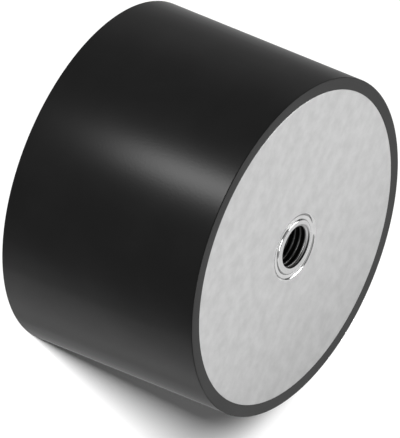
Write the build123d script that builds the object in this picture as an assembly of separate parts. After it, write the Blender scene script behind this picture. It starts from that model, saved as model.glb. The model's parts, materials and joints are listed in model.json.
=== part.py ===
from build123d import *
import math
import os

# Bobbin vibration mount, threaded hole in both ends.
# Millimetres. The axis is +Z, the mount stands on its bottom face, and the
# origin is the centre of that face.

# Rubber body
BODY_D = 70.0           # outside diameter
BODY_H = 45.0           # height over both end faces
BODY_EDGE_R = 0.2       # moulded radius round each end

# End plates, let into the rubber flush with its ends
RIM_W = 2.5             # rubber left round the plate
PLATE_T = 3.0
PLATE_EDGE_R = 0.05     # rounded outer edge of the visible face
RECESS_W = 1.4          # shallow ring recess, staked into the plate round the neck
RECESS_DEPTH = 0.25
RECESS_LIP_R = 0.8      # rolled edge from the face down to the recess
SEAM_R = 0.15           # rounded edge of the recess where it meets the neck

# Threaded bushes, blind, flush with the plates
THREAD_D = 10.0         # ISO metric M10 x 1.25
THREAD_PITCH = 1.25
THREAD_DEPTH = 10.0     # full thread below the face
DRILL_PAST = 0.6        # drilled on below the last full thread
DRILL_POINT = 118.0     # included angle of the drill point, degrees
NECK_WALL = 0.7         # neck wall outside the thread's major diameter
NECK_EDGE_R = 0.25      # rounded outer edge of the neck's face
SHOULDER_W = 2.0        # step from the neck out to the body, behind the plate
FLOOR_T = 1.4           # steel left under the drill point
HEEL_CHAMFER = 1.0      # chamfer round the buried end

# Worked out from the sizes above
body_r = BODY_D / 2
plate_r = body_r - RIM_W
neck_r = THREAD_D / 2 + NECK_WALL
bush_r = neck_r + SHOULDER_W
recess_r = neck_r + RECESS_W
bore_r = THREAD_D / 2 - 0.625 * math.sqrt(3) / 2 * THREAD_PITCH   # ISO minor diameter of a nut thread
bore_depth = THREAD_DEPTH + DRILL_PAST
point_h = bore_r / math.tan(math.radians(DRILL_POINT / 2))
bush_len = bore_depth + point_h + FLOOR_T


# Each end's pieces are drawn with the end face at z = 0 and the metal below it.

def cylinder_below(radius, depth, top=0.0):
    """A plain cylinder that hangs down from the height `top`."""
    disc = Cylinder(radius, depth, align=(Align.CENTER, Align.CENTER, Align.MAX))
    return Pos(0, 0, top) * disc


def bush_blank():
    """The turned bush before it is drilled: neck through the plate, wider body behind it."""
    heel = cylinder_below(bush_r, bush_len - PLATE_T, top=-PLATE_T)
    heel = chamfer(heel.edges().group_by(Axis.Z)[0], HEEL_CHAMFER)
    return heel + cylinder_below(neck_r, PLATE_T)


def make_bush():
    """The bush with its rounded face edge and its blind hole, plain at the minor diameter."""
    bush = bush_blank()
    face_edge = bush.edges().group_by(Axis.Z)[-1]
    bush = fillet(face_edge, NECK_EDGE_R)
    drill_point = Pos(0, 0, -bore_depth) * Cone(
        0, bore_r, point_h, align=(Align.CENTER, Align.CENTER, Align.MAX)
    )
    return bush - cylinder_below(bore_r, bore_depth) - drill_point


def recess():
    """What the staking tool presses in: a flat ring below the face, its outer edge rolled."""
    roll = math.acos(1 - RECESS_DEPTH / RECESS_LIP_R)
    foot_r = recess_r - RECESS_LIP_R * math.sin(roll)
    lip_middle = (recess_r - RECESS_LIP_R * math.sin(roll / 2), RECESS_LIP_R * (math.cos(roll / 2) - 1))
    flat = Polyline((foot_r, -RECESS_DEPTH), (0, -RECESS_DEPTH), (0, 0), (recess_r, 0))
    lip = ThreePointArc((recess_r, 0), lip_middle, (foot_r, -RECESS_DEPTH))
    return revolve(Plane.XZ * make_face(flat + lip), Axis.Z)


def make_plate():
    """The round steel plate, recessed round its centre hole."""
    plate = cylinder_below(plate_r, PLATE_T)
    plate = fillet(plate.edges().group_by(Axis.Z)[-1], PLATE_EDGE_R)
    plate = plate - recess() - cylinder_below(neck_r, PLATE_T)
    hole_edges = plate.edges().filter_by(GeomType.CIRCLE).filter_by(Plane.XY).group_by(SortBy.RADIUS)[0]
    return fillet(hole_edges.sort_by(Axis.Z)[-1], SEAM_R)


def at_top(piece):
    return Pos(0, 0, BODY_H) * piece


def at_bottom(piece):
    return Rot(180, 0, 0) * piece


def make_rubber():
    """The moulded body, bonded round both plates and both bushes."""
    body = Cylinder(body_r, BODY_H, align=(Align.CENTER, Align.CENTER, Align.MIN))
    body = fillet(body.edges().filter_by(GeomType.CIRCLE), BODY_EDGE_R)
    metal = cylinder_below(plate_r, PLATE_T) + bush_blank()
    return body - at_top(metal) - at_bottom(metal)


pieces = {
    "rubber_body": make_rubber(),
    "top_plate": at_top(make_plate()),
    "top_bush": at_top(make_bush()),
    "bottom_plate": at_bottom(make_plate()),
    "bottom_bush": at_bottom(make_bush()),
}

os.makedirs("parts", exist_ok=True)
for name, piece in pieces.items():
    piece.label = name
    export_step(piece, f"parts/{name}.step")
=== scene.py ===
"""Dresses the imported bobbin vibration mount: the moulded rubber, the zinc-plated end plates and the
threaded bushes, with the floor, the lamps and the camera that show them.

Metres throughout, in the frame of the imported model: +Z is the axis, and the mount stands on z = 0.
"""
import json
import math

import bmesh
import bpy
from bpy.props import FloatProperty, FloatVectorProperty, IntProperty, PointerProperty
from mathutils import Matrix, Vector


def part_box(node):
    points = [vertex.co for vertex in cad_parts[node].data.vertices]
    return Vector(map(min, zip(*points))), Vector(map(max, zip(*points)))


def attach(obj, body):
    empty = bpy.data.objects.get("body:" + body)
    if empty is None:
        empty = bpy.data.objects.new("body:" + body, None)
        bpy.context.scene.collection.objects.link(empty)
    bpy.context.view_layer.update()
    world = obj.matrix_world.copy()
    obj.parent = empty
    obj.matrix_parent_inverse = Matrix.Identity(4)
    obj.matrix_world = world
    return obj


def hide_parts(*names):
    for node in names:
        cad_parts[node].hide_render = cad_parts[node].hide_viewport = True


bl_info = {
    "name": "Bobbin vibration mount",
    "version": (1, 0, 0),
    "blender": (4, 5, 0),
    "location": "3D View > Sidebar > Mount",
    "description": "Makes a rubber bobbin mount with flush steel plates and threaded bushes",
    "category": "Add Mesh",
}

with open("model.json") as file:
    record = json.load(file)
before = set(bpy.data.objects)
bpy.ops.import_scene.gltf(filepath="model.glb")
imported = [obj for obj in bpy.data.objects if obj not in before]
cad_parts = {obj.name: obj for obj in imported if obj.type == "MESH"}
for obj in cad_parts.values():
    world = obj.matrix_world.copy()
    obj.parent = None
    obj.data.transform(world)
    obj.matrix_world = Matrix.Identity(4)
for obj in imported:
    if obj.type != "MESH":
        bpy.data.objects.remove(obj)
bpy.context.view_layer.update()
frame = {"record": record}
MM = 0.001
BODY = "root"


# ---------------------------------------------------------------- sizes that the frame gives


def node_size(node):
    """(radius, lowest z, highest z) of a round CAD node on the axis."""
    low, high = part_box(node)
    return max(high.x, high.y, -low.x, -low.y), low.z, high.z


BODY_R, BODY_BOTTOM, BODY_TOP = node_size("rubber_body")
MIDDLE_Z = (BODY_TOP + BODY_BOTTOM) / 2
PLATE_R, PLATE_BACK, PLATE_FACE = node_size("top_plate")
BUSH_R, BUSH_HEEL, BUSH_FACE = node_size("top_bush")
TOP_HOLE = next(m for m in frame["record"]["mounts"] if m["name"] == "top_thread")
BORE_R = TOP_HOLE["dims"]["r_mm"] * MM
BORE_DEPTH = TOP_HOLE["dims"]["length_mm"] * MM


# ---------------------------------------------------------------- the user's sizes and colours


def linear(hex_colour):
    """An sRGB hex colour as linear RGBA."""
    levels = [int(hex_colour[i : i + 2], 16) / 255 for i in (1, 3, 5)]
    return tuple(c / 12.92 if c <= 0.04045 else ((c + 0.055) / 1.055) ** 2.4 for c in levels) + (1.0,)


def length_prop(name, description, millimetres):
    """A length that the user may change. It is kept in metres."""
    return FloatProperty(
        name=name, description=description, default=millimetres * MM,
        min=0.0, unit="LENGTH", precision=5,
    )


def angle_prop(name, description, degrees):
    """An angle that the user may change. It is kept in radians."""
    return FloatProperty(
        name=name, description=description, default=math.radians(degrees), subtype="ANGLE"
    )


def colour_prop(name, description, hex_colour):
    """A colour that the user may change. It is kept as linear RGBA."""
    return FloatVectorProperty(
        name=name, description=description, default=linear(hex_colour),
        size=4, min=0.0, max=1.0, subtype="COLOR",
    )


class MountSizes(bpy.types.PropertyGroup):
    """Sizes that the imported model's boxes don't give."""

    segments: IntProperty(
        name="Segments", description="Flat sides round every turned or moulded form", default=360, min=24
    )
    body_edge: length_prop("Rubber edge", "Moulded radius round each end of the rubber", 0.2)
    plate_edge: length_prop("Plate edge", "Rounded outer edge of a plate's visible face", 0.05)
    recess_w: length_prop("Recess width", "Ring recess in the plate, from the neck outwards", 1.4)
    recess_depth: length_prop("Recess depth", "Depth of the ring recess below the face", 0.25)
    recess_lip: length_prop("Recess lip", "Radius of the rolled edge round the ring recess", 0.8)
    seam: length_prop("Seam", "Rounded inner edge of the recess's floor, along the neck", 0.15)
    neck_wall: length_prop("Neck wall", "Neck wall outside the thread's major diameter", 0.7)
    neck_edge: length_prop("Neck edge", "Rounded outer edge of the bush's face", 0.25)
    heel_chamfer: length_prop("Heel chamfer", "Chamfer round the bush's buried end", 1.0)
    thread_d: length_prop("Thread diameter", "Major diameter of the metric thread", 10.0)
    pitch: length_prop("Thread pitch", "Pitch of the metric fine thread", 1.25)
    thread_depth: length_prop("Thread depth", "Depth below the face where the thread has run out", 10.0)
    crest_round: length_prop("Crest rounding", "Worn corner on each edge of a thread crest", 0.07)
    thread_start: angle_prop(
        "Thread start", "Where the first crest meets the face, anticlockwise from +X as seen from above",
        315.0,
    )
    drill_point: angle_prop("Drill point", "Included angle of the hole's bottom", 118.0)


class MountColours(bpy.types.PropertyGroup):
    """Base colours of the finishes, and of the painted shade in the thread's grooves."""

    rubber: colour_prop("Rubber", "Carbon-black natural rubber", "#252525")
    rubber_bloom: colour_prop("Rubber bloom", "The faint grey film that rubber sweats out", "#282828")
    zinc: colour_prop("Zinc", "Zinc-plated sheet", "#c6c6c6")
    zinc_dull: colour_prop("Dull zinc", "Passivated patches of the zinc", "#bababa")
    bush: colour_prop("Turned steel", "Zinc-plated turned bush", "#c3c3c3")
    # The thread groove colour is painted shade, laid into the tapped hole's grooves and deeper crests.
    groove: colour_prop("Thread groove", "Painted shade in the thread's grooves", "#1e1d1c")
    floor: colour_prop("Floor", "Pale studio floor", "#fbfbfb")


# Radii that more than one piece or finish needs.


def neck_radius(sizes):
    """Outside of the bush's neck, and the plate's hole round it."""
    return sizes.thread_d / 2 + sizes.neck_wall


def neck_face_radius(sizes):
    """Where the neck's flat face gives way to its rounded edge."""
    return neck_radius(sizes) - sizes.neck_edge


def recess_radius(sizes):
    """Where the plate's flat face gives way to the ring recess."""
    return neck_radius(sizes) + sizes.recess_w


# ---------------------------------------------------------------- mesh building

NO_LENGTH = 1e-9         # a length that counts as none
SAME_HEIGHT = 1e-7       # how far off a height a vertex may be and still lie at it
CURVE_STEPS = 16         # flats in each rounded steel edge
RUBBER_EDGE_STEPS = 8    # flats in the rubber's edge
FLAT_RING = 0.05 * MM    # ring beside a rounded edge that keeps the shading of the flat face flat


def arc(centre, radius, start, end, steps):
    """Points (r, z) along an arc, angles in degrees anticlockwise from +r."""
    angles = [math.radians(start + (end - start) * i / steps) for i in range(steps + 1)]
    return [(centre[0] + radius * math.cos(a), centre[1] + radius * math.sin(a)) for a in angles]


def lathe(bm, profile, segments, closed=True):
    """Adds the solid of revolution of an (r, z) profile to a bmesh. A point on the axis is a pole."""
    rings = []
    for r, z in profile:
        if r < NO_LENGTH:
            rings.append([bm.verts.new((0, 0, z))])
            continue
        turn = [2 * math.pi * j / segments for j in range(segments)]
        rings.append([bm.verts.new((r * math.cos(a), r * math.sin(a), z)) for a in turn])
    pairs = list(zip(rings, rings[1:]))
    if closed:
        pairs.append((rings[-1], rings[0]))
    for a, b in pairs:
        if len(a) == 1 and len(b) == 1:
            continue
        for j in range(segments):
            k = (j + 1) % segments
            if len(a) == 1:
                bm.faces.new((a[0], b[k], b[j]))
            elif len(b) == 1:
                bm.faces.new((a[j], a[k], b[0]))
            else:
                bm.faces.new((a[j], a[k], b[k], b[j]))


def finished_mesh(name, bm, sharp_angle):
    """Turns a bmesh into a shaded object whose folds sharper than the angle, in degrees, stay crisp."""
    bmesh.ops.recalc_face_normals(bm, faces=bm.faces)
    mesh = bpy.data.meshes.new(name)
    bm.to_mesh(mesh)
    bm.free()
    mesh.polygons.foreach_set("use_smooth", [True] * len(mesh.polygons))
    mesh.set_sharp_from_angle(angle=math.radians(sharp_angle))
    piece = bpy.data.objects.new(name, mesh)
    bpy.context.scene.collection.objects.link(piece)
    return piece


def to_bottom_end(bm):
    """Turns a piece drawn for the top end over to the bottom end."""
    down, up = Matrix.Translation((0, 0, -MIDDLE_Z)), Matrix.Translation((0, 0, MIDDLE_Z))
    bm.transform(up @ Matrix.Rotation(math.pi, 4, "X") @ down)


def lit_together(name):
    """The collection of that name, which holds what one set of lamps lights."""
    return bpy.data.collections.get(name) or bpy.data.collections.new(name)


def place(piece, node, slot, material):
    """Stands a finished piece in for its CAD node, and puts it with those that the same lamps light."""
    piece.data.materials.append(material)
    lit_together("mount_pieces").objects.link(piece)
    lit_together("rubber_pieces" if slot == "rubber" else "steel_pieces").objects.link(piece)
    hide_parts(node)
    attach(piece, BODY)


# ---------------------------------------------------------------- materials


def new_material(name):
    """(material, its node tree, its Principled shader)."""
    material = bpy.data.materials.new(name)
    material.use_nodes = True
    return material, material.node_tree, material.node_tree.nodes["Principled BSDF"]


def set_inputs(tree, node, inputs):
    """Sets a node's inputs, by name or number: a socket is linked, and anything else is its value."""
    for key, value in inputs.items():
        if isinstance(value, bpy.types.NodeSocket):
            tree.links.new(value, node.inputs[key])
        else:
            node.inputs[key].default_value = value


def add_node(tree, kind, inputs=None, **settings):
    """Adds a node with its inputs, as set_inputs takes them, and its settings."""
    node = tree.nodes.new(kind)
    for key, value in settings.items():
        setattr(node, key, value)
    set_inputs(tree, node, inputs or {})
    return node


def grain_scale(size_mm):
    """Pattern scale whose features are about that many millimetres across, on coordinates in metres."""
    return 1.0 / (size_mm * MM)


def by_radius(tree, place_on, inner, outer, at_inner, at_outer):
    """A socket that goes from one level to the other between two distances from the mount's axis.
    A level is a number or a socket."""
    flat = add_node(
        tree, "ShaderNodeVectorMath", {0: place_on, 1: (1, 1, 0)}, operation="MULTIPLY"
    )
    reach = add_node(tree, "ShaderNodeVectorMath", {0: flat.outputs["Vector"]}, operation="LENGTH")
    between = {"From Min": inner, "From Max": outer, "To Min": at_inner, "To Max": at_outer}
    level = add_node(tree, "ShaderNodeMapRange", {"Value": reach.outputs["Value"], **between})
    return level.outputs["Result"]


def by_depth(tree, place_on, shallow, deep, at_shallow, at_deep):
    """A socket that goes from one level to the other between two depths below the nearer end face.
    A level is a number or a socket."""
    half = (BODY_TOP - BODY_BOTTOM) / 2
    height = add_node(tree, "ShaderNodeSeparateXYZ", {"Vector": place_on}).outputs["Z"]
    above = add_node(tree, "ShaderNodeMath", {0: height, 1: MIDDLE_Z}, operation="SUBTRACT")
    out = add_node(tree, "ShaderNodeMath", {0: above.outputs["Value"]}, operation="ABSOLUTE")
    between = {
        "From Min": half - deep, "From Max": half - shallow, "To Min": at_deep, "To Max": at_shallow
    }
    level = add_node(tree, "ShaderNodeMapRange", {"Value": out.outputs["Value"], **between})
    return level.outputs["Result"]


def moulded_rubber(colours):
    """Carbon-black natural rubber, press moulded in a fine-blasted steel tool: a satin black with a
    dense fine grain that breaks a highlight into specks, and a faint grey bloom."""
    material, tree, shader = new_material("Natural rubber, press moulded")
    place_on = add_node(tree, "ShaderNodeTexCoord").outputs["Object"]
    bloom = add_node(
        tree, "ShaderNodeTexNoise", {"Vector": place_on, "Scale": grain_scale(9.0), "Detail": 3.0}
    )
    film = add_node(
        tree, "ShaderNodeMapRange", {"Value": bloom.outputs["Fac"], "From Min": 0.4, "From Max": 0.75}
    )
    tint = add_node(
        tree, "ShaderNodeMix",
        {"Factor": film.outputs["Result"], "A": colours.rubber, "B": colours.rubber_bloom},
        data_type="RGBA",
    )
    # The blasted tool's grain is 0.05 to 0.1 mm, too fine to show, so it is drawn at 0.45 mm.
    grain = add_node(
        tree, "ShaderNodeTexNoise", {"Vector": place_on, "Scale": grain_scale(0.45), "Detail": 2.0}
    )
    relief = add_node(
        tree, "ShaderNodeBump",
        {"Height": grain.outputs["Fac"], "Strength": 0.4, "Distance": 0.02 * MM},
    )
    # The specular level is far below a real rubber's 0.5, so that the surroundings don't lighten the
    # colour. The lamps that draw its sheen are as much brighter, to make up for it.
    set_inputs(tree, shader, {
        "Base Color": tint.outputs["Result"],
        "Normal": relief.outputs["Normal"],
        "Roughness": 0.33,
        "IOR": 1.52,
        "Specular IOR Level": 0.008,
    })
    return material


def zinc_plated_sheet(colours, recess_r):
    """Cold-rolled steel sheet, barrel zinc plated and passivated: matt light grey metal with a
    soft cloudy mottle of a few millimetres, smoother where the ring recess is rolled in."""
    material, tree, shader = new_material("Steel sheet, zinc plated")
    place_on = add_node(tree, "ShaderNodeTexCoord").outputs["Object"]
    cloud = add_node(
        tree, "ShaderNodeTexNoise",
        {"Vector": place_on, "Scale": grain_scale(3.0), "Detail": 4.0, "Roughness": 0.6},
    )
    patch = add_node(
        tree, "ShaderNodeMapRange", {"Value": cloud.outputs["Fac"], "From Min": 0.35, "From Max": 0.65}
    )
    tint = add_node(
        tree, "ShaderNodeMix",
        {"Factor": patch.outputs["Result"], "A": colours.zinc, "B": colours.zinc_dull},
        data_type="RGBA",
    )
    # The shallow dents that parts knock into each other in the plating barrel, about 0.6 mm across.
    dents = add_node(
        tree, "ShaderNodeTexNoise", {"Vector": place_on, "Scale": grain_scale(0.6), "Detail": 3.0}
    )
    relief = add_node(
        tree, "ShaderNodeBump",
        {"Height": dents.outputs["Fac"], "Strength": 0.15, "Distance": 0.01 * MM},
    )
    set_inputs(tree, shader, {
        "Base Color": tint.outputs["Result"],
        "Normal": relief.outputs["Normal"],
        "Metallic": 1.0,
        "Roughness": by_radius(tree, place_on, recess_r - 0.1 * MM, recess_r, 0.1, 0.3),
    })
    return material


def turned_steel(colours, face_r):
    """Free-cutting steel, turned and tapped, bright zinc plated: smooth metal with the fine
    ring lines of the facing tool, and smoother still on the rounded edge of its face."""
    material, tree, shader = new_material("Free-cutting steel, turned")
    place_on = add_node(tree, "ShaderNodeTexCoord").outputs["Object"]
    # Facing marks, 0.1 mm apart on the real bush, drawn 0.49 mm apart so that they show. At a scale
    # of 1 the node sets its rings 2 pi / 20 apart.
    ring_scale = grain_scale(0.4935) * 2 * math.pi / 20
    rings = add_node(
        tree, "ShaderNodeTexWave",
        {"Vector": place_on, "Scale": ring_scale, "Distortion": 0.5, "Detail": 2.0},
        wave_type="RINGS", rings_direction="Z",
    )
    relief = add_node(
        tree, "ShaderNodeBump",
        {"Height": rings.outputs["Fac"], "Strength": 0.04, "Distance": 0.005 * MM},
    )
    set_inputs(tree, shader, {
        "Base Color": colours.bush,
        "Normal": relief.outputs["Normal"],
        "Metallic": 1.0,
        "Roughness": by_radius(tree, place_on, face_r - 0.05 * MM, face_r, 0.3, 0.1),
    })
    return material


def tapped_hole(colours):
    """The tapped hole's wall: bright at the mouth, with painted shade in the grooves below it and,
    lighter, on the deeper crests. The painted shade deepens with depth."""
    material, tree, shader = new_material("Free-cutting steel, tapped")
    place_on = add_node(tree, "ShaderNodeTexCoord").outputs["Object"]
    # How much painted shade each place gets, from 0, bright, to 1. At the mouth only a groove's root is
    #     shaded, and that only below the face. Deeper down the whole groove is, and the crests partly.
    below_face = by_depth(tree, place_on, 0.04 * MM, 0.18 * MM, 0.0, 1.0)
    root_shade = by_radius(tree, place_on, BORE_R + 0.35 * MM, BORE_R + 0.5 * MM, 0.0, below_face)
    groove_shade = by_depth(tree, place_on, 0.32 * MM, 0.56 * MM, root_shade, 1.0)
    crest_shade = by_depth(tree, place_on, 0.3 * MM, 0.9 * MM, 0.0, 0.72)
    painted_shade = by_radius(
        tree, place_on, BORE_R + 0.03 * MM, BORE_R + 0.12 * MM, crest_shade, groove_shade
    )
    # The bush colour darkened towards the groove colour: painted shade inside the hole.
    tint = add_node(
        tree, "ShaderNodeMix", {"Factor": painted_shade, "A": colours.bush, "B": colours.groove}, data_type="RGBA"
    )
    set_inputs(tree, shader, {"Base Color": tint.outputs["Result"], "Metallic": 1.0, "Roughness": 0.45})
    return material


def floor_laminate(colours):
    """White laminate, pressed matt: an even pale surface that mirrors next to nothing."""
    material, tree, shader = new_material("Studio floor, matt laminate")
    set_inputs(tree, shader, {"Base Color": colours.floor, "Roughness": 0.9, "Specular IOR Level": 0.1})
    return material


# ---------------------------------------------------------------- the object's pieces


class MOUNT_OT_rubber(bpy.types.Operator):
    """Mould the rubber body round the plates and bushes"""

    bl_idname = "mount.rubber"
    bl_label = "Rubber body"

    def execute(self, context):
        sizes, colours = context.scene.mount_sizes, context.scene.mount_colours
        edge, chamfer = sizes.body_edge, sizes.heel_chamfer
        top_half = [
            (0, BUSH_HEEL),
            (BUSH_R - chamfer, BUSH_HEEL),
            (BUSH_R, BUSH_HEEL + chamfer),
            (BUSH_R, PLATE_BACK),
            (PLATE_R, PLATE_BACK),
            (PLATE_R, BODY_TOP),
            *arc((BODY_R - edge, BODY_TOP - edge), edge, 90, 0, RUBBER_EDGE_STEPS),
        ]
        mirrored = [(r, BODY_TOP + BODY_BOTTOM - z) for r, z in reversed(top_half)]
        bm = bmesh.new()
        lathe(bm, top_half + mirrored, sizes.segments, closed=False)
        body = finished_mesh("moulded_rubber_body", bm, sharp_angle=35.0)
        place(body, "rubber_body", "rubber", moulded_rubber(colours))
        return {"FINISHED"}


class MOUNT_OT_plates(bpy.types.Operator):
    """Press the two round end plates"""

    bl_idname = "mount.plates"
    bl_label = "End plates"

    def execute(self, context):
        sizes, colours = context.scene.mount_sizes, context.scene.mount_colours
        neck, recess, edge = neck_radius(sizes), recess_radius(sizes), sizes.plate_edge
        depth, lip, seam = sizes.recess_depth, sizes.recess_lip, sizes.seam
        lip_foot = 90 + math.degrees(math.acos(1 - depth / lip))
        profile = [
            (neck, PLATE_BACK),
            *arc((neck + seam, PLATE_FACE - depth - seam), seam, 180, 90, CURVE_STEPS),
            *arc((recess, PLATE_FACE - lip), lip, lip_foot, 90, CURVE_STEPS),
            (recess + FLAT_RING, PLATE_FACE),
            *arc((PLATE_R - edge, PLATE_FACE - edge), edge, 90, 0, CURVE_STEPS),
            (PLATE_R, PLATE_BACK),
        ]
        finish = zinc_plated_sheet(colours, recess)
        for end in ("top", "bottom"):
            bm = bmesh.new()
            lathe(bm, profile, sizes.segments)
            if end == "bottom":
                to_bottom_end(bm)
            plate = finished_mesh(f"{end}_end_plate", bm, sharp_angle=18.0)
            place(plate, f"{end}_plate", "plate_steel", finish)
        return {"FINISHED"}


def thread_rows(sizes):
    """The nut thread's ISO profile over one pitch, as (radius, height), upwards from a crest's middle.
    Each edge of the crest is cut back by the worn corner, with one more point that rounds it."""
    pitch, corner = sizes.pitch, sizes.crest_round
    major_r = sizes.thread_d / 2
    half_crest, half_root = pitch / 8, pitch / 16
    worn = corner * math.sqrt(3)    # how far out the 60 degree flank runs over that height
    return [
        (BORE_R, 0.0),
        (BORE_R, half_crest - corner),
        (BORE_R + 0.25 * worn, half_crest + 0.1 * corner),
        (BORE_R + worn, half_crest + corner),
        (major_r, pitch / 2 - half_root),
        (major_r, pitch / 2 + half_root),
        (BORE_R + worn, pitch - half_crest - corner),
        (BORE_R + 0.25 * worn, pitch - half_crest - 0.1 * corner),
        (BORE_R, pitch - half_crest + corner),
    ]


def thread_surface(bm, sizes):
    """The tapped hole's wall as one right-handed helicoid, cut at the face and plain below the thread."""
    steps, pitch = sizes.segments // 2, sizes.pitch
    rows = thread_rows(sizes)
    # Turns to spare at each end, which the cuts at the face and at the hole's bottom take off.
    spare = 2
    turns = math.ceil(BORE_DEPTH / pitch) + 2 * spare
    lowest = BUSH_FACE - (turns - spare) * pitch
    wall = [(r, lowest + turn * pitch + dz) for turn in range(turns) for r, dz in rows]
    thread_end = BUSH_FACE - sizes.thread_depth
    columns = []
    for j in range(steps):
        angle = sizes.thread_start + 2 * math.pi * j / steps
        column = []
        for r, height in wall:
            z = height + pitch * (j / steps - 1.0)
            # The thread gets shallower over its last turn.
            share = min(1.0, max(0.0, (z - thread_end) / pitch))
            reach = BORE_R + (r - BORE_R) * share
            column.append(bm.verts.new((reach * math.cos(angle), reach * math.sin(angle), z)))
        columns.append(column)
    for j in range(steps):
        here, there = columns[j], columns[(j + 1) % steps]
        # The last column meets the first one a pitch further up.
        lift = len(rows) if j == steps - 1 else 0
        for k in range(len(wall) - 1 - lift):
            bm.faces.new((here[k], here[k + 1], there[k + 1 + lift], there[k + lift]))
    for height, direction in ((BUSH_FACE, 1), (BUSH_FACE - BORE_DEPTH, -1)):
        bmesh.ops.bisect_plane(
            bm, geom=bm.verts[:] + bm.edges[:] + bm.faces[:], dist=NO_LENGTH,
            plane_co=(0, 0, height), plane_no=(0, 0, direction), clear_outer=True,
        )


def open_loop(bm, height):
    """The open edges that lie at one height."""
    return [
        e for e in bm.edges
        if len(e.link_faces) == 1 and all(abs(v.co.z - height) < SAME_HEIGHT for v in e.verts)
    ]


class MOUNT_OT_bushes(bpy.types.Operator):
    """Turn and tap the two threaded bushes"""

    bl_idname = "mount.bushes"
    bl_label = "Threaded bushes"

    def execute(self, context):
        sizes, colours = context.scene.mount_sizes, context.scene.mount_colours
        neck, face_r = neck_radius(sizes), neck_face_radius(sizes)
        edge, chamfer = sizes.neck_edge, sizes.heel_chamfer
        outside = [
            (face_r - FLAT_RING, BUSH_FACE),
            *arc((face_r, BUSH_FACE - edge), edge, 90, 0, CURVE_STEPS),
            (neck, PLATE_BACK),
            (BUSH_R, PLATE_BACK),
            (BUSH_R, BUSH_HEEL + chamfer),
            (BUSH_R - chamfer, BUSH_HEEL),
            (0, BUSH_HEEL),
        ]
        hole_bottom = BUSH_FACE - BORE_DEPTH
        drill_tip = (0, 0, hole_bottom - BORE_R / math.tan(sizes.drill_point / 2))
        turned, tapped = turned_steel(colours, face_r), tapped_hole(colours)
        for end in ("top", "bottom"):
            bm = bmesh.new()
            thread_surface(bm, sizes)
            tip = bm.verts.new(drill_tip)
            for e in open_loop(bm, hole_bottom):
                bm.faces.new((*e.verts, tip))
            for f in bm.faces:
                f.material_index = 1
            lathe(bm, outside, sizes.segments, closed=False)
            bmesh.ops.triangle_fill(bm, edges=open_loop(bm, BUSH_FACE), use_beauty=True)
            if end == "bottom":
                to_bottom_end(bm)
            bush = finished_mesh(f"{end}_threaded_bush", bm, sharp_angle=25.0)
            place(bush, f"{end}_bush", "bush_steel", turned)
            bush.data.materials.append(tapped)
        return {"FINISHED"}


# ---------------------------------------------------------------- stage

FLOOR_SPAN, FLOOR_T = 16.0, 0.25                  # the floor slab's side and thickness
WORLD_LEVEL = 0.11                                # even light from all round, 1 being white
CAMERA_TILT = math.radians(27.872)                # the camera's height above the end face's plane
CAMERA_ROLL = math.radians(22.023)                # how far the mount's axis dips below the horizontal
CAMERA_DISTANCE = 0.4                             # from the plane through the top face's centre
VIEW_SPAN = 85.05 * MM                            # the view's long side
FACE_RIGHT, FACE_DOWN = 18.456 * MM, 5.495 * MM   # the top face's centre from the view's centre


def add_floor(scene, colours):
    """The pale slab that the mount stands on, its top level with the mount's foot."""
    spread = Matrix.Diagonal((FLOOR_SPAN, FLOOR_SPAN, FLOOR_T, 1.0))
    sink = Matrix.Translation((0, 0, BODY_BOTTOM - FLOOR_T / 2))
    bm = bmesh.new()
    bmesh.ops.create_cube(bm, size=1.0, matrix=sink @ spread)
    mesh = bpy.data.meshes.new("studio_floor")
    bm.to_mesh(mesh)
    bm.free()
    floor = bpy.data.objects.new("studio_floor", mesh)
    mesh.materials.append(floor_laminate(colours))
    scene.collection.objects.link(floor)
    lit_together("ground").objects.link(floor)


def light_world(scene):
    """The studio's own even light."""
    world = bpy.data.worlds.new("Studio world")
    scene.world = world
    world.use_nodes = True
    background = {"Color": linear("#ffffff"), "Strength": WORLD_LEVEL}
    set_inputs(world.node_tree, world.node_tree.nodes["Background"], background)


def towards(azimuth, height):
    """A direction: azimuth from +Y towards +X, then height above the end face's plane, both in degrees."""
    a, h = math.radians(azimuth), math.radians(height)
    return Vector((math.sin(a) * math.cos(h), math.cos(a) * math.cos(h), math.sin(h)))


def add_lamp(name, lights, place_at, target, size, level, sheen_only=False):
    """A soft rectangular lamp that the camera doesn't see. level is its surface's brightness, 1 being
    white. It lights one collection, and only the mount's own pieces shade it. A lamp for sheen only
    is mirrored and doesn't lighten a colour."""
    width, height = size
    data = bpy.data.lights.new(name, "AREA")
    data.shape = "RECTANGLE"
    data.size, data.size_y = size
    data.energy = level * math.pi * width * height
    lamp = bpy.data.objects.new(name, data)
    bpy.context.scene.collection.objects.link(lamp)
    lamp.location = place_at
    lamp.rotation_euler = (Vector(target) - Vector(place_at)).to_track_quat("-Z", "Y").to_euler()
    lamp.visible_camera = False
    lamp.visible_diffuse = not sheen_only
    lamp.light_linking.receiver_collection = lit_together(lights)
    lamp.light_linking.blocker_collection = lit_together("mount_pieces")


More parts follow.
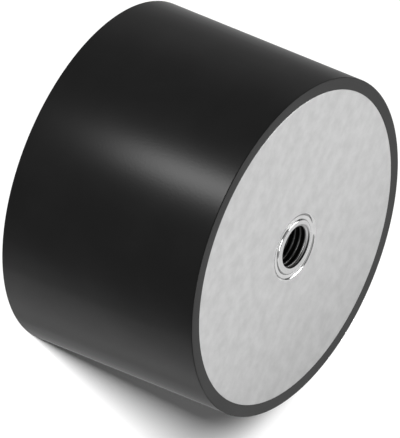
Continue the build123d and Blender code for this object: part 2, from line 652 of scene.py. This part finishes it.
def add_lamps():
    """Every lamp, each lighting only the floor, the rubber or the steel."""
    middle, face = Vector((0, 0, MIDDLE_Z)), Vector((0, 0, BODY_TOP))
    rubber, steel = "rubber_pieces", "steel_pieces"
    # Lights the floor and throws the mount's shadow on it.
    key_at = middle + Vector((-0.085, -0.8, 0.485)) * 8.5
    add_lamp("floor_key", "ground", key_at, middle, (1.09, 0.41), 935.0)
    # The rubber's long narrow highlight, then a broad sheen towards +X and a fainter one towards -X.
    streak_at, streak_on = Vector((-0.0295, -0.118, 0.006)), (-0.005, -0.034, 0.053)
    add_lamp("streak_lamp", rubber, streak_at, streak_on, (0.024, 0.05), 400.0, sheen_only=True)
    side_at = middle + Vector((0.8075, 0.36, -0.4675)) * 0.3
    add_lamp("side_fill", rubber, side_at, middle, (0.3, 0.3), 19.0, sheen_only=True)
    far_at = middle + Vector((-0.657, 0.59, -0.4675)) * 0.3
    add_lamp("far_fill", rubber, far_at, middle, (0.3, 0.3), 7.0, sheen_only=True)
    # The level of the end face, and a little more on its far side.
    add_lamp("back_panel", steel, face + towards(45, 45.5) * 0.2, face, (0.78, 0.1185), 1.04)
    add_lamp("low_panel", steel, face + towards(8, 13) * 0.5, face, (1.1, 0.158), 0.4)
    # From behind: a highlight on the rubber, and the level of the end face.
    rear_at, rear_on = Vector((0.01, 0.118, 0.006)), (0.002, 0.034, 0.053)
    add_lamp("rear_streak", rubber, rear_at, rear_on, (0.012, 0.05), 300.0, sheen_only=True)
    add_lamp("rear_panel", steel, face + towards(125, 18) * 0.5, face, (0.5, 0.2), 0.5)
    # The rubber's rim round the plate.
    add_lamp("rim_panel", rubber, face + towards(0, 51) * 0.26, face, (0.45, 0.3), 7.0)
    # The far side of the ring recess.
    add_lamp("sky", steel, face + towards(180, 70) * 0.6, face, (1.0, 0.7), 0.5)
    # The ring recess's highlights. The front lamp also lights the end face as it is seen from behind.
    add_lamp("high_lamp", steel, face + towards(-55, 51.5) * 0.5, face, (0.3, 0.24), 7.5)
    add_lamp("front_lamp", steel, face + towards(165, 33) * 0.6, face, (0.42, 0.24), 7.0)
    add_lamp("low_lamp", steel, face + towards(170, 12) * 0.6, face, (0.42, 0.12), 10.0)


def camera_axes():
    """(right, up, back) of the camera."""
    back = Vector((0, -math.cos(CAMERA_TILT), math.sin(CAMERA_TILT)))
    along = Vector((0, math.sin(CAMERA_TILT), math.cos(CAMERA_TILT)))
    across = Vector((-1, 0, 0))
    right = math.cos(CAMERA_ROLL) * along + math.sin(CAMERA_ROLL) * across
    up = -math.sin(CAMERA_ROLL) * along + math.cos(CAMERA_ROLL) * across
    return right, up, back


def add_camera(scene):
    """A camera without perspective, rolled so that the standing mount seems to lie on its side."""
    data = bpy.data.cameras.new("camera")
    data.type = "ORTHO"
    data.ortho_scale = VIEW_SPAN
    data.clip_start, data.clip_end = 0.01, 10.0
    camera = bpy.data.objects.new("camera", data)
    scene.collection.objects.link(camera)
    right, up, back = camera_axes()
    centre = Vector((0, 0, BODY_TOP)) - right * FACE_RIGHT + up * FACE_DOWN
    turn = Matrix((right, up, back)).transposed().to_4x4()
    camera.matrix_world = Matrix.Translation(centre + back * CAMERA_DISTANCE) @ turn
    scene.camera = camera


class MOUNT_OT_stage(bpy.types.Operator):
    """Set out the floor, the lamps and the camera"""

    bl_idname = "mount.stage"
    bl_label = "Stage"

    def execute(self, context):
        scene = context.scene
        add_floor(scene, scene.mount_colours)
        light_world(scene)
        add_lamps()
        add_camera(scene)
        scene.view_settings.view_transform = "Standard"
        return {"FINISHED"}


# ---------------------------------------------------------------- add-on


class MOUNT_PT_panel(bpy.types.Panel):
    """The mount's operators, sizes and colours"""

    bl_idname = "MOUNT_PT_panel"
    bl_label = "Bobbin vibration mount"
    bl_space_type = "VIEW_3D"
    bl_region_type = "UI"
    bl_category = "Mount"

    def draw(self, context):
        for operator in OPERATORS:
            self.layout.operator(operator.bl_idname)
        for group in (context.scene.mount_sizes, context.scene.mount_colours):
            box = self.layout.box()
            for name in group.__annotations__:
                box.prop(group, name)


OPERATORS = (MOUNT_OT_rubber, MOUNT_OT_plates, MOUNT_OT_bushes, MOUNT_OT_stage)
CLASSES = (MountSizes, MountColours, *OPERATORS, MOUNT_PT_panel)


def register():
    for cls in CLASSES:
        bpy.utils.register_class(cls)
    bpy.types.Scene.mount_sizes = PointerProperty(type=MountSizes)
    bpy.types.Scene.mount_colours = PointerProperty(type=MountColours)


def unregister():
    del bpy.types.Scene.mount_colours
    del bpy.types.Scene.mount_sizes
    for cls in reversed(CLASSES):
        bpy.utils.unregister_class(cls)


def main():
    """Makes the mount and its stage."""
    register()
    bpy.ops.mount.rubber()
    bpy.ops.mount.plates()
    bpy.ops.mount.bushes()
    bpy.ops.mount.stage()


if __name__ == "__main__":
    main()
